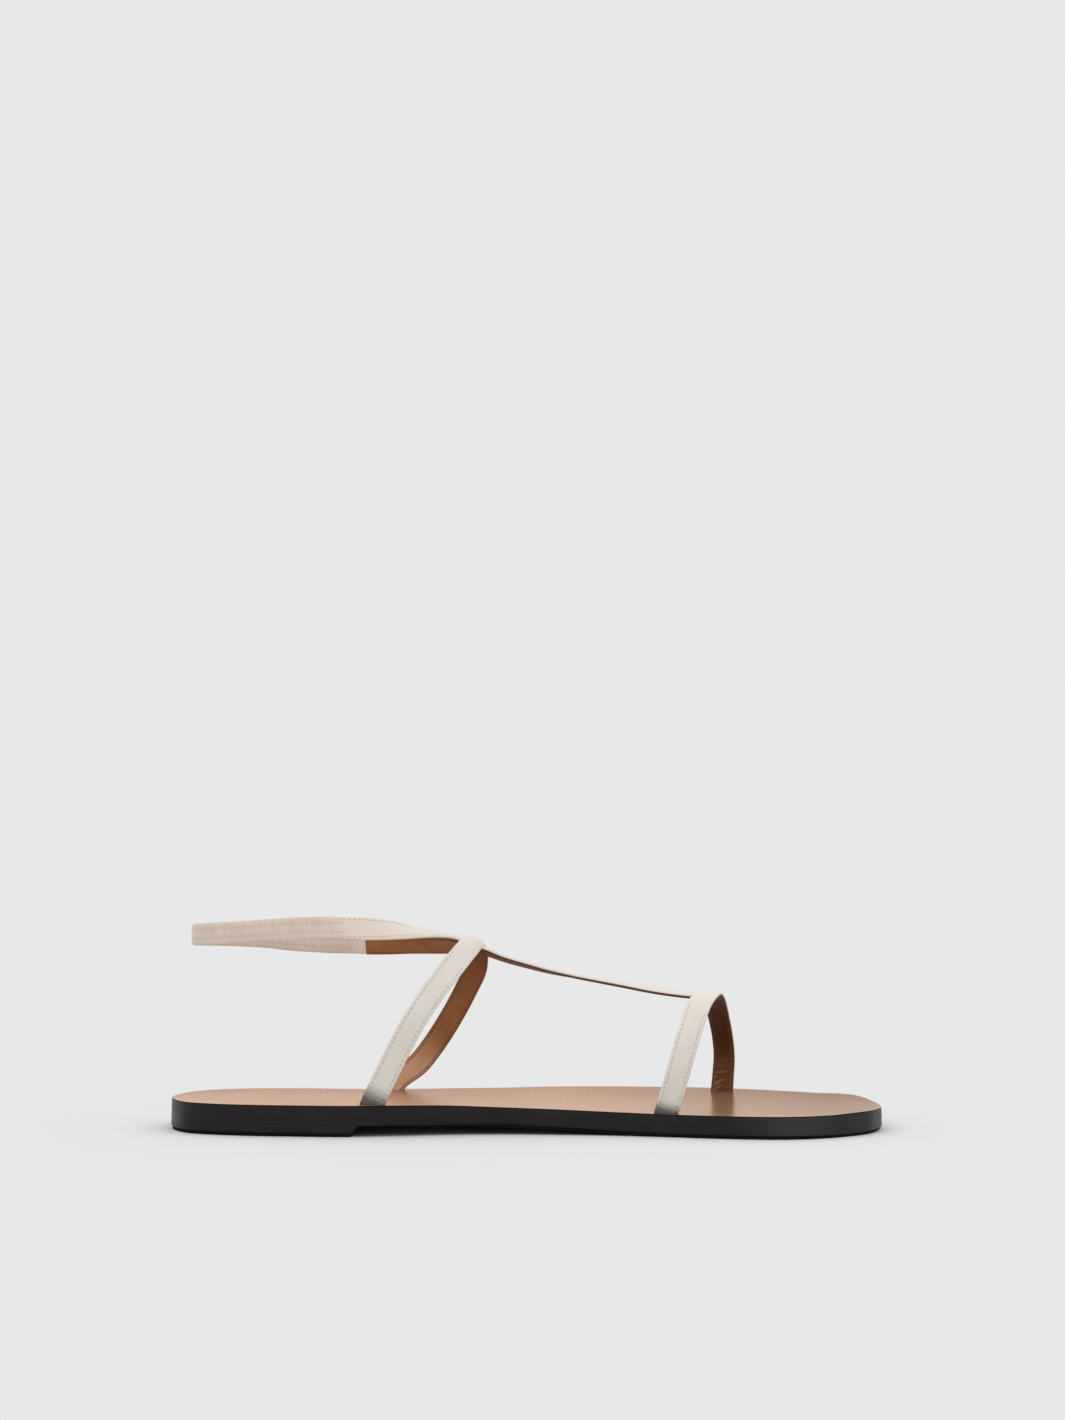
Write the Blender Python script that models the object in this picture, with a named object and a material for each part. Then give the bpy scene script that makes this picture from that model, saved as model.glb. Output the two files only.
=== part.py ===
"""Flat strappy sandal, left foot, standing empty on its sole.

Metres, +Z up, toe towards +X, inner side of the foot towards -Y. The origin is the bottom centre of
the bounding box. The tables hold pattern millimetres for one base size, measured along from the back
of the heel, across from the axis of the heel (outer side positive) and up from the tread. The named
sizes below grade them.
"""
import math

import bmesh
import bpy
from mathutils import Vector

# Named sizes
SOLE_LENGTH = 0.250
BALL_WIDTH = 0.093
INSTEP_HEIGHT = 0.0650
HEEL_HEIGHT = 0.0097
INSOLE_THICKNESS = 0.0012
STRAP_WIDTH = 0.0083
STRAP_THICKNESS = 0.0016
STRAP_CORNER = 0.0004
SLING_WIDTH = 0.0076
SLING_THICKNESS = 0.0018
SEAT_GAP = 0.0003
TREAD_THICKNESS = 0.0011
WALL_FLARE = 0.0003
LOWER_EDGE = 0.0006
RIM_EDGE = 0.00025

# Base size of the pattern, in the tables' millimetres
PATTERN_LENGTH = 250.0
PATTERN_BALL = 93.0
PATTERN_INSTEP = 65.0
PATTERN_HEEL = 9.7

# Plan outline: along, inner edge, outer edge
OUTLINE = (
    (3.0, -11.2, 14.6),
    (10.0, -19.4, 22.8),
    (26.0, -25.6, 28.0),
    (45.0, -28.6, 28.2),
    (62.0, -30.2, 26.4),
    (77.0, -28.6, 26.4),
    (95.0, -24.6, 31.0),
    (115.0, -22.6, 39.6),
    (137.0, -23.6, 49.2),
    (155.0, -26.0, 54.6),
    (172.0, -30.0, 56.2),
    (188.0, -34.6, 54.4),
    (203.0, -37.8, 49.2),
    (216.0, -38.0, 43.0),
    (229.0, -33.2, 35.4),
    (240.0, -24.6, 29.2),
    (246.0, -16.4, 19.2),
)
HEEL_BACK = (-0.1, 1.6)
TOE_TIP = (249.3, -3.0)

# Side view of the sole: along, underside of the plate over the floor, top of the rim over the tread,
# depth of the dish, rise of the outer rim
PROFILE = (
    (0.0, 3.90, 9.70, 0.00, 0.00),
    (20.0, 3.90, 9.70, 0.00, 0.35),
    (70.0, 3.90, 9.70, 0.00, 0.35),
    (95.0, 3.50, 9.30, 0.15, 0.45),
    (115.0, 2.60, 8.50, 0.40, 0.65),
    (137.0, 1.50, 7.75, 0.65, 0.90),
    (155.0, 0.60, 7.15, 0.85, 1.00),
    (178.0, 0.00, 6.75, 0.95, 1.05),
    (228.0, 0.00, 6.75, 0.60, 1.00),
    (241.0, 0.30, 7.00, 0.25, 0.90),
    (250.0, 0.70, 6.90, 0.00, 0.00),
)

# Breast of the heel lift: where its top and its bottom end
BREAST_TOP = 66.5
BREAST_BOTTOM = 64.0

# How far inside the tips the first and last section stand
TIP_INSET = 0.35

# Straps over the foot: along, across, up, then which way the outer face looks.
# side is -90 towards the inner side, 0 up, 90 towards the outer side; toe tips it towards the toe.
TOE_STRAP = (
    (172.4, -26.6, 4.0, -88.0, 0.0),
    (173.3, -27.2, 8.0, -90.0, 0.0),
    (176.1, -28.0, 17.5, -92.0, 0.0),
    (178.7, -26.8, 26.5, -84.0, 0.0),
    (181.8, -22.4, 36.0, -64.0, 2.0),
    (185.3, -12.0, 43.6, -34.0, 4.0),
    (189.4, 6.0, 45.8, 0.0, 5.0),
    (191.8, 22.0, 42.9, 24.0, 8.0),
    (194.2, 36.4, 35.4, 54.0, 18.0),
    (196.0, 44.4, 27.6, 76.0, 24.0),
    (196.8, 47.4, 20.0, 88.0, 25.0),
    (196.4, 46.9, 13.0, 93.0, 21.0),
    (195.8, 45.4, 7.2, 90.0, 16.0),
    (195.4, 44.8, 4.0, 90.0, 16.0),
)
INSTEP_STRAP = (
    (70.6, -26.4, 6.8, -88.0, 0.0),
    (72.2, -26.9, 11.3, -90.0, 0.0),
    (78.2, -27.3, 23.8, -90.0, 0.0),
    (84.6, -26.2, 36.2, -86.0, 4.0),
    (91.1, -23.0, 46.4, -74.0, 10.0),
    (97.6, -17.0, 54.8, -56.0, 16.0),
    (103.4, -8.4, 61.7, -28.0, 20.0),
    (106.0, 0.4, 63.9, 0.0, 20.0),
    (107.2, 9.4, 60.8, 30.0, 19.0),
    (106.6, 16.4, 53.8, 56.0, 15.0),
    (103.2, 21.4, 46.2, 74.0, 8.0),
    (98.6, 24.2, 37.4, 86.0, 4.0),
    (92.8, 25.4, 28.0, 90.0, 0.0),
    (86.4, 25.2, 19.6, 92.0, 2.0),
    (79.9, 24.4, 14.8, 90.0, 4.0),
    (77.0, 23.9, 11.6, 90.0, 4.0),
    (76.0, 23.5, 9.2, 90.0, 2.0),
    (75.2, 23.2, 6.8, 90.0, 0.0),
)
T_BAR = (
    (103.4, -0.3, 63.2, 8.0, 24.0),
    (106.5, 0.0, 62.1, 11.0, 22.0),
    (116.9, 0.8, 58.4, 12.0, 18.0),
    (131.0, 1.8, 54.4, 9.0, 14.0),
    (142.2, 2.6, 52.0, 3.0, 11.0),
    (156.4, 3.6, 49.5, -3.0, 10.0),
    (170.0, 4.6, 47.1, -7.0, 9.0),
    (182.6, 5.4, 45.3, -6.0, 7.0),
    (191.6, 6.0, 44.5, -2.0, 5.0),
)

# Loop round the ankle, from under the instep strap by the inner side and the back of the heel to
# under the instep strap again: along, across, up, tilt of the outer face from upright
ANKLE_LOOP = (
    (106.4, 2.4, 62.4, 88.0),
    (102.2, 1.0, 64.6, 76.0),
    (97.6, -2.2, 66.4, 80.0),
    (92.6, -7.4, 67.6, 76.0),
    (86.8, -13.6, 68.5, 66.0),
    (79.9, -20.0, 69.5, 46.0),
    (67.9, -24.6, 70.4, 20.0),
    (57.3, -26.4, 70.9, 8.0),
    (44.2, -26.6, 70.6, 2.0),
    (26.0, -22.4, 69.2, 0.0),
    (13.4, -13.0, 68.0, 0.0),
    (7.8, 0.0, 67.0, 0.0),
    (12.4, 12.0, 66.1, 0.0),
    (21.4, 19.4, 65.4, 0.0),
    (31.5, 23.6, 64.6, 0.0),
    (41.0, 25.4, 63.4, 2.0),
    (54.0, 25.6, 62.6, 6.0),
    (67.3, 23.0, 62.4, 16.0),
    (75.3, 20.0, 62.4, 26.0),
    (84.0, 15.6, 62.7, 34.0),
    (96.0, 8.4, 62.7, 46.0),
    (100.5, 5.0, 62.6, 52.0),
    (103.4, 3.0, 62.1, 60.0),
)
SLING_INNER_ROW = 6
SLING_OUTER_ROW = 17

SOLE_START = HEEL_BACK[0] + TIP_INSET
SOLE_STOP = TOE_TIP[0] - TIP_INSET
LENGTH_GRADE = SOLE_LENGTH / PATTERN_LENGTH
WIDTH_GRADE = BALL_WIDTH / PATTERN_BALL
RISE_GRADE = INSTEP_HEIGHT / PATTERN_INSTEP
HEEL_GRADE = HEEL_HEIGHT / PATTERN_HEEL
MID_LENGTH = 0.5 * (HEEL_BACK[0] + TOE_TIP[0])
MID_WIDTH = 0.5 * (min(row[1] for row in OUTLINE) + max(row[2] for row in OUTLINE))

for old in list(bpy.data.objects):
    bpy.data.objects.remove(old, do_unlink=True)

SANDAL = bpy.data.collections.new("sandal")
CUTTERS = bpy.data.collections.new("cutters")
bpy.context.scene.collection.children.link(SANDAL)
bpy.context.scene.collection.children.link(CUTTERS)


def material(name, color, roughness):
    mat = bpy.data.materials.new(name)
    mat.use_nodes = True
    shader = mat.node_tree.nodes["Principled BSDF"]
    shader.inputs["Base Color"].default_value = (*color, 1.0)
    shader.inputs["Roughness"].default_value = roughness
    return mat


def graded_x(along):
    return (along - MID_LENGTH) * LENGTH_GRADE


def graded_y(across):
    return (across - MID_WIDTH) * WIDTH_GRADE


def spline(points, per_span, closed=False):
    """Points on a smooth curve through the given vectors."""
    total = len(points)
    spans = total if closed else total - 1
    curve = []
    for span in range(spans):
        if closed:
            quad = [points[(span + k) % total] for k in (-1, 0, 1, 2)]
        else:
            quad = [points[min(max(span + k, 0), total - 1)] for k in (-1, 0, 1, 2)]
        before, start, end, after = quad
        for step in range(per_span):
            t = step / per_span
            curve.append(
                0.5 * (2.0 * start + (end - before) * t
                       + (2.0 * before - 5.0 * start + 4.0 * end - after) * t ** 2
                       + (3.0 * (start - end) + after - before) * t ** 3)
            )
    if not closed:
        curve.append(points[-1].copy())
    return curve


def eased(rows, column, along):
    """Column of a table at a station, level wherever two neighbouring rows are equal."""
    if along <= rows[0][0]:
        return rows[0][column]
    for index in range(len(rows) - 1):
        left, right = rows[index], rows[index + 1]
        if along <= right[0]:
            break
    width = right[0] - left[0]
    slope = (right[column] - left[column]) / width

    def tangent(at):
        if at <= 0 or at >= len(rows) - 1:
            return slope
        low = (rows[at][column] - rows[at - 1][column]) / (rows[at][0] - rows[at - 1][0])
        high = (rows[at + 1][column] - rows[at][column]) / (rows[at + 1][0] - rows[at][0])
        if low * high <= 0.0:
            return 0.0
        return 2.0 * low * high / (low + high)

    t = min((along - left[0]) / width, 1.0)
    start, end = tangent(index), tangent(index + 1)
    return (left[column] * (2 * t ** 3 - 3 * t ** 2 + 1) + right[column] * (3 * t ** 2 - 2 * t ** 3)
            + width * (start * (t ** 3 - 2 * t ** 2 + t) + end * (t ** 3 - t ** 2)))


def outline_side(column):
    """Dense run of one edge of the sole, from the back of the heel to the tip of the toe."""
    inner = [Vector((row[0], row[1])) for row in OUTLINE]
    outer = [Vector((row[0], row[2])) for row in OUTLINE]
    ring = [Vector(HEEL_BACK)] + outer + [Vector(TOE_TIP)] + inner[::-1]
    per_span = 12
    dense = spline(ring, per_span, closed=True)
    dense.append(dense[0])
    turn = (len(OUTLINE) + 1) * per_span
    if column == 2:
        return dense[:turn + 1]
    return dense[turn:][::-1]


EDGES = {1: outline_side(1), 2: outline_side(2)}


def edge_point(column, along):
    """Point on one edge at a station, with the outward direction there, in pattern millimetres."""
    run = EDGES[column]
    for start, end in zip(run, run[1:]):
        if start.x <= along <= end.x and end.x > start.x:
            break
    t = (along - start.x) / (end.x - start.x)
    way = (end - start).normalized()
    outward = Vector((-way.y, way.x)) if column == 2 else Vector((way.y, -way.x))
    return start.lerp(end, t), outward


def rim_point(column, along, offset, up):
    """Point in metres on the wall of the sole: offset is outward from the outline."""
    spot, outward = edge_point(column, along)
    return Vector((graded_x(spot.x) + outward.x * offset, graded_y(spot.y) + outward.y * offset, up))


def flare(up):
    return WALL_FLARE * (1.0 - up / (HEEL_HEIGHT + TREAD_THICKNESS))


def underside(along):
    return eased(PROFILE, 1, along) * HEEL_GRADE


def rim_top(column, along):
    rise = eased(PROFILE, 4, along) if column == 2 else 0.0
    return (eased(PROFILE, 2, along) + rise) * HEEL_GRADE + TREAD_THICKNESS


def dish(along):
    return eased(PROFILE, 3, along) * HEEL_GRADE


def across_row(left, right, along, count):
    """Points between two rim points, sunk by the dish of the footbed and curling up to the higher rim."""
    low, high = sorted((left.z, right.z))
    row = []
    for step in range(1, count):
        share = step / count
        curl = share if right.z > left.z else 1.0 - share
        spot = left.lerp(right, share)
        spot.z = low + (high - low) * curl ** 4 - dish(along) * (1.0 - (2.0 * share - 1.0) ** 2)
        row.append(spot)
    return row


def stations(first, last, count):
    """Stations along the sole, closer together at both ends."""
    return [first + (last - first) * 0.5 * (1.0 - math.cos(math.pi * step / count))
            for step in range(count + 1)]


def loft(name, loops, mat, home, sharp_deg):
    """Closed solid through loops of equal count, capped at both ends."""
    bm = bmesh.new()
    rings = [[bm.verts.new(spot) for spot in loop] for loop in loops]
    count = len(rings[0])
    for ring, following in zip(rings, rings[1:]):
        for k in range(count):
            n = (k + 1) % count
            bm.faces.new((ring[k], ring[n], following[n], following[k]))
    bm.faces.new(rings[0][::-1])
    bm.faces.new(rings[-1])
    bmesh.ops.triangulate(bm, faces=[face for face in bm.faces if len(face.verts) > 4])
    bmesh.ops.recalc_face_normals(bm, faces=bm.faces)
    mesh = bpy.data.meshes.new(name)
    bm.to_mesh(mesh)
    bm.free()
    mesh.shade_smooth()
    mesh.set_sharp_from_angle(angle=math.radians(sharp_deg))
    obj = bpy.data.objects.new(name, mesh)
    home.objects.link(obj)
    if mat:
        mesh.materials.append(mat)
    if home == CUTTERS:
        obj.hide_render = True
        obj.display_type = "WIRE"
    return obj


def boolean(target, other, operation):
    mod = target.modifiers.new(other.name, "BOOLEAN")
    mod.operation = operation
    mod.solver = "EXACT"
    mod.object = other


def strap_section(width, thickness, corner):
    """Half-rounded strip section as pairs: along the width, along the outward face direction."""
    half_w, half_t = 0.5 * width, 0.5 * thickness
    quarter = ((half_w - corner, half_t), (half_w, half_t - corner))
    lower = [(w, -t) for w, t in quarter[::-1]]
    right = list(quarter) + lower
    return right + [(-w, t) for w, t in right[::-1]]


def placed(row):
    return Vector((graded_x(row[0]), graded_y(row[1]), row[2] * RISE_GRADE + TREAD_THICKNESS))


def foot_frames(rows, per_span=10):
    """Dense centre points and outward directions of a strap over the foot."""
    points = spline([placed(row) for row in rows], per_span)
    looks = []
    for row in rows:
        side, toe = math.radians(row[3]), math.radians(row[4])
        looks.append(Vector((math.sin(toe), math.cos(toe) * math.sin(side), math.cos(toe) * math.cos(side))))
    return points, spline(looks, per_span)


def loop_frames(rows, per_span=10):
    """Dense centre points and outward directions of the loop round the ankle."""
    points = spline([placed(row) for row in rows], per_span)
    tilts = spline([Vector((row[3], 0.0)) for row in rows], per_span)
    looks = []
    for index in range(len(points)):
        way = points[min(index + 1, len(points) - 1)] - points[max(index - 1, 0)]
        level = Vector((way.y, -way.x, 0.0)).normalized()
        tilt = math.radians(tilts[index].x)
        looks.append(-level * math.cos(tilt) + Vector((0.0, 0.0, math.sin(tilt))))
    return points, looks


def strap_loops(frames, start, end, step, section):
    """Section loops along a dense path, from one distance along it to another."""
    points, looks = frames
    runs = [0.0]
    for first, second in zip(points, points[1:]):
        runs.append(runs[-1] + (second - first).length)
    if end is None:
        end = runs[-1]
    count = max(2, round((end - start) / step))
    loops = []
    index = 0
    for k in range(count + 1):
        run = start + (end - start) * k / count
        while index < len(runs) - 2 and runs[index + 1] < run:
            index += 1
        share = (run - runs[index]) / (runs[index + 1] - runs[index])
        spot = points[index].lerp(points[index + 1], share)
        way = (points[min(index + 2, len(points) - 1)] - points[max(index - 1, 0)]).normalized()
        look = looks[index].lerp(looks[index + 1], share)
        look = (look - way * look.dot(way)).normalized()
        wide = way.cross(look)
        loops.append([spot + wide * w + look * t for w, t in section])
    return loops


def run_to(frames, row, per_span=10):
    """Distance along a dense path to one of its table rows."""
    points = frames[0]
    return sum((points[k + 1] - points[k]).length for k in range(row * per_span))


black = material("sole_black", (0.018, 0.017, 0.016), 0.42)
black_lift = material("lift_black", (0.016, 0.015, 0.014), 0.5)
tan = material("insole_tan", (0.56, 0.38, 0.27), 0.38)
cream = material("strap_cream", (0.76, 0.71, 0.63), 0.5)
elastic = material("sling_beige", (0.66, 0.56, 0.47), 0.7)

# Outsole: rounded lower edge, flared wall, top that follows the footbed
ACROSS = 6
outsole_loops = []
for s in stations(SOLE_START, SOLE_STOP, 58):
    low = underside(s)
    inner_high, outer_high = (rim_top(column, s) - INSOLE_THICKNESS - SEAT_GAP for column in (1, 2))
    inner_top = rim_point(1, s, flare(inner_high), inner_high)
    outer_top = rim_point(2, s, flare(outer_high), outer_high)
    outsole_loops.append(
        [rim_point(1, s, flare(low) - LOWER_EDGE, low),
         rim_point(2, s, flare(low) - LOWER_EDGE, low),
         rim_point(2, s, flare(low), low + LOWER_EDGE),
         outer_top]
        + across_row(outer_top, inner_top, s, ACROSS)
        + [inner_top,
           rim_point(1, s, flare(low), low + LOWER_EDGE)]
    )
outsole = loft("outsole", outsole_loops, black, SANDAL, 30)

# Heel lift: same outline, slanted breast
lift_loops = []
for s in stations(SOLE_START, BREAST_TOP, 26):
    s_low = SOLE_START + (s - SOLE_START) * (BREAST_BOTTOM - SOLE_START) / (BREAST_TOP - SOLE_START)
    s_mid = 0.75 * s_low + 0.25 * s
    high = underside(s) - SEAT_GAP
    lift_loops.append(
        [rim_point(1, s_low, flare(0.0) - LOWER_EDGE, 0.0),
         rim_point(2, s_low, flare(0.0) - LOWER_EDGE, 0.0),
         rim_point(2, s_mid, flare(0.0), LOWER_EDGE),
         rim_point(2, s, flare(high), high),
         rim_point(1, s, flare(high), high),
         rim_point(1, s_mid, flare(0.0), LOWER_EDGE)]
    )
loft("heel_lift", lift_loops, black_lift, SANDAL, 30)

# Insole: thin footbed with an eased rim
insole_loops = []
for s in stations(SOLE_START, SOLE_STOP, 58):
    inner_high, outer_high = rim_top(1, s), rim_top(2, s)
    inner_low = rim_point(1, s, 0.0, inner_high - INSOLE_THICKNESS)
    outer_low = rim_point(2, s, 0.0, outer_high - INSOLE_THICKNESS)
    inner_rim = rim_point(1, s, -RIM_EDGE, inner_high)
    outer_rim = rim_point(2, s, -RIM_EDGE, outer_high)
    insole_loops.append(
        [inner_low]
        + across_row(inner_low, outer_low, s, ACROSS)
        + [outer_low,
           rim_point(2, s, 0.0, outer_high - RIM_EDGE),
           outer_rim]
        + across_row(outer_rim, inner_rim, s, ACROSS)
        + [inner_rim,
           rim_point(1, s, 0.0, inner_high - RIM_EDGE)]
    )
insole = loft("insole", insole_loops, tan, SANDAL, 30)

# Upper: straps joined where they cross
section = strap_section(STRAP_WIDTH, STRAP_THICKNESS, STRAP_CORNER)
grown = strap_section(STRAP_WIDTH + 2 * SEAT_GAP, STRAP_THICKNESS + 2 * SEAT_GAP, STRAP_CORNER)
instep = foot_frames(INSTEP_STRAP)
toe = foot_frames(TOE_STRAP)
bar = foot_frames(T_BAR)
ankle = loop_frames(ANKLE_LOOP)
sling_start = run_to(ankle, SLING_INNER_ROW)
sling_end = run_to(ankle, SLING_OUTER_ROW)

upper = loft("upper", strap_loops(instep, 0.0, None, 0.0034, section), cream, SANDAL, 40)
pieces = (
    ("toe_strap", strap_loops(toe, 0.0, None, 0.0034, section)),
    ("t_bar", strap_loops(bar, 0.0, None, 0.0040, section)),
    ("ankle_inner", strap_loops(ankle, 0.0, sling_start, 0.0034, section)),
    ("ankle_outer", strap_loops(ankle, sling_end, None, 0.0034, section)),
)
for name, loops in pieces:
    boolean(upper, loft(name, loops, cream, CUTTERS, 40), "UNION")

# Heel sling between the ends of the ankle strap
sling_section = strap_section(SLING_WIDTH, SLING_THICKNESS, STRAP_CORNER)
sling_loops = strap_loops(ankle, sling_start + SEAT_GAP, sling_end - SEAT_GAP, 0.0036, sling_section)
loft("heel_sling", sling_loops, elastic, SANDAL, 40)

# Slots in the insole and pockets in the outsole for the strap ends
for name, frames in (("instep", instep), ("toe", toe)):
    for end, points in (("inner", frames[0]), ("outer", frames[0][::-1])):
        looks = frames[1] if end == "inner" else frames[1][::-1]
        first = points[0] + (points[0] - points[1]).normalized() * SEAT_GAP
        slot_frames = ([first] + points, [looks[0]] + looks)
        slot = loft(f"{name}_slot_{end}", strap_loops(slot_frames, 0.0, 0.0085, 0.002, grown), None, CUTTERS, 40)
        boolean(insole, slot, "DIFFERENCE")
        boolean(outsole, slot, "DIFFERENCE")
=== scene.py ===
"""Looks of the flat strappy sandal: black sole, tan footbed, cream straps lined in brown.

Metres, toe towards +X, inner side of the foot towards -Y, +Z up. The tables hold pattern millimetres:
along from the back of the heel, across from the axis of the heel (outer side positive), up from the
tread. They repeat the solids, so every piece stands where its solid stands.
"""

import math
from bisect import bisect_right
from functools import lru_cache

import bmesh
import bpy
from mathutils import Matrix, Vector, noise


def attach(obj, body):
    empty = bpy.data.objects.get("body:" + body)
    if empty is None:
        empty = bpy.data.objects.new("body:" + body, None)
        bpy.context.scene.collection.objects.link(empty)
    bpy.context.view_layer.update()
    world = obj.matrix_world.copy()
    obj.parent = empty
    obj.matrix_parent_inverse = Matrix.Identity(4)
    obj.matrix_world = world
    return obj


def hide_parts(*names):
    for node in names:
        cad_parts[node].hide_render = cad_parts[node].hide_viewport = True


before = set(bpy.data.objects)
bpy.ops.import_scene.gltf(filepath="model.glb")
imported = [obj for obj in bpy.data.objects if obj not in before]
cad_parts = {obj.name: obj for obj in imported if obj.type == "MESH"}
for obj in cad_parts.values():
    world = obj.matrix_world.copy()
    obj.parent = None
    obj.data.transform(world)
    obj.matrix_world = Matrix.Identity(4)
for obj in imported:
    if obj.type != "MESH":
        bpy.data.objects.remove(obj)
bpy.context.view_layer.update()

MM = 0.001

# Sole: heights, then the painted wall, the tread layer that is set in under it, and the heel's breast
HEEL_HEIGHT = 9.7
TREAD = 1.1
WALL_FLARE = 0.3
WALL_EDGE = 0.18
SHARP_EDGE = 0.01
TREAD_LAYER = 1.25
TREAD_INSET = 0.5
LOWER_EDGE = 0.25
BREAST_TOP = 66.5
BREAST_BOTTOM = 64.0
TIP_INSET = 0.03

# Stretches of the sole: where the wall's lower edge rounds off in front of the heel, where the tread layer
# comes in behind the ball, and where it thins at the toe, by a share of its height
EDGE_STRETCH = (66.0, 82.0)
LAYER_STRETCH = (88.0, 122.0)
TOE_STRETCH = (215.0, 245.0)
TOE_THINNING = 0.40

# Footbed: thickness of its skin, points across its underside and top, and its rounded rim as
# (distance in from the rim, depth under it)
SKIN = 0.35
BED_UNDER = 24
BED_OVER = 56
BED_RIM = ((0.0, SKIN - 0.01), (0.0, 0.24), (0.04, 0.12), (0.12, 0.04), (0.26, 0.0))

# Straps and sling: half widths and thicknesses, the slots' play, sections and cut corners, and how uneven
# the straps are out of their faces
STRAP_HALF = 4.15
STRAP_FACE = 0.80
SLING_HALF = 3.80
SLING_FACE = 0.90
SLOT_GAP = 0.15
SLOT_RUNS = (-0.3, 2.0, 4.0, 6.0, 8.0)
SLOT_CHAMFER = 0.5
SWAY = 0.07

# Plan outline: along, inner edge, outer edge
OUTLINE = (
    (3.0, -11.2, 14.6),
    (10.0, -19.4, 22.8),
    (26.0, -25.6, 28.0),
    (45.0, -28.6, 28.2),
    (62.0, -30.2, 26.4),
    (77.0, -28.6, 26.4),
    (95.0, -24.6, 31.0),
    (115.0, -22.6, 39.6),
    (137.0, -23.6, 49.2),
    (155.0, -26.0, 54.6),
    (172.0, -30.0, 56.2),
    (188.0, -34.6, 54.4),
    (203.0, -37.8, 49.2),
    (216.0, -38.0, 43.0),
    (229.0, -33.2, 35.4),
    (240.0, -24.6, 29.2),
    (246.0, -16.4, 19.2),
)
HEEL_BACK = (-0.1, 1.6)
TOE_TIP = (249.3, -3.0)

# Side view of the sole: along, underside of the plate over the floor, top of the rim over the tread,
# depth of the dish, rise of the outer rim
PROFILE = (
    (0.0, 3.90, 9.70, 0.00, 0.00),
    (20.0, 3.90, 9.70, 0.00, 0.35),
    (70.0, 3.90, 9.70, 0.00, 0.35),
    (95.0, 3.50, 9.30, 0.15, 0.45),
    (115.0, 2.60, 8.50, 0.40, 0.65),
    (137.0, 1.50, 7.75, 0.65, 0.90),
    (155.0, 0.60, 7.15, 0.85, 1.00),
    (178.0, 0.00, 6.75, 0.95, 1.05),
    (228.0, 0.00, 6.75, 0.60, 1.00),
    (241.0, 0.30, 7.00, 0.25, 0.90),
    (250.0, 0.70, 6.90, 0.00, 0.00),
)

# Straps over the foot: along, across, up, then which way the outer face looks (side, toe)
TOE_STRAP = (
    (172.4, -26.6, 4.0, -88.0, 0.0),
    (173.3, -27.2, 8.0, -90.0, 0.0),
    (176.1, -28.0, 17.5, -92.0, 0.0),
    (178.7, -26.8, 26.5, -84.0, 0.0),
    (181.8, -22.4, 36.0, -64.0, 2.0),
    (185.3, -12.0, 43.6, -34.0, 4.0),
    (189.4, 6.0, 45.8, 0.0, 5.0),
    (191.8, 22.0, 42.9, 24.0, 8.0),
    (194.2, 36.4, 35.4, 54.0, 18.0),
    (196.0, 44.4, 27.6, 76.0, 24.0),
    (196.8, 47.4, 20.0, 88.0, 25.0),
    (196.4, 46.9, 13.0, 93.0, 21.0),
    (195.8, 45.4, 7.2, 90.0, 16.0),
    (195.4, 44.8, 4.0, 90.0, 16.0),
)
INSTEP_STRAP = (
    (70.6, -26.4, 6.8, -88.0, 0.0),
    (72.2, -26.9, 11.3, -90.0, 0.0),
    (78.2, -27.3, 23.8, -90.0, 0.0),
    (84.6, -26.2, 36.2, -86.0, 4.0),
    (91.1, -23.0, 46.4, -74.0, 10.0),
    (97.6, -17.0, 54.8, -56.0, 16.0),
    (103.4, -8.4, 61.7, -28.0, 20.0),
    (106.0, 0.4, 63.9, 0.0, 20.0),
    (107.2, 9.4, 60.8, 30.0, 19.0),
    (106.6, 16.4, 53.8, 56.0, 15.0),
    (103.2, 21.4, 46.2, 74.0, 8.0),
    (98.6, 24.2, 37.4, 86.0, 4.0),
    (92.8, 25.4, 28.0, 90.0, 0.0),
    (86.4, 25.2, 19.6, 92.0, 2.0),
    (79.9, 24.4, 14.8, 90.0, 4.0),
    (77.0, 23.9, 11.6, 90.0, 4.0),
    (76.0, 23.5, 9.2, 90.0, 2.0),
    (75.2, 23.2, 6.8, 90.0, 0.0),
)
T_BAR = (
    (103.4, -0.3, 63.2, 8.0, 24.0),
    (106.5, 0.0, 62.1, 11.0, 22.0),
    (116.9, 0.8, 58.4, 12.0, 18.0),
    (131.0, 1.8, 54.4, 9.0, 14.0),
    (142.2, 2.6, 52.0, 3.0, 11.0),
    (156.4, 3.6, 49.5, -3.0, 10.0),
    (170.0, 4.6, 47.1, -7.0, 9.0),
    (182.6, 5.4, 45.3, -6.0, 7.0),
    (191.6, 6.0, 44.5, -2.0, 5.0),
)

# Loop round the ankle: along, across, up, tilt of the outer face from upright
ANKLE_LOOP = (
    (106.4, 2.4, 62.4, 88.0),
    (102.2, 1.0, 64.6, 76.0),
    (97.6, -2.2, 66.4, 80.0),
    (92.6, -7.4, 67.6, 76.0),
    (86.8, -13.6, 68.5, 66.0),
    (79.9, -20.0, 69.5, 46.0),
    (67.9, -24.6, 70.4, 20.0),
    (57.3, -26.4, 70.9, 8.0),
    (44.2, -26.6, 70.6, 2.0),
    (26.0, -22.4, 69.2, 0.0),
    (13.4, -13.0, 68.0, 0.0),
    (7.8, 0.0, 67.0, 0.0),
    (12.4, 12.0, 66.1, 0.0),
    (21.4, 19.4, 65.4, 0.0),
    (31.5, 23.6, 64.6, 0.0),
    (41.0, 25.4, 63.4, 2.0),
    (54.0, 25.6, 62.6, 6.0),
    (67.3, 23.0, 62.4, 16.0),
    (75.3, 20.0, 62.4, 26.0),
    (84.0, 15.6, 62.7, 34.0),
    (96.0, 8.4, 62.7, 46.0),
    (100.5, 5.0, 62.6, 52.0),
    (103.4, 3.0, 62.1, 60.0),
)

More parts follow.
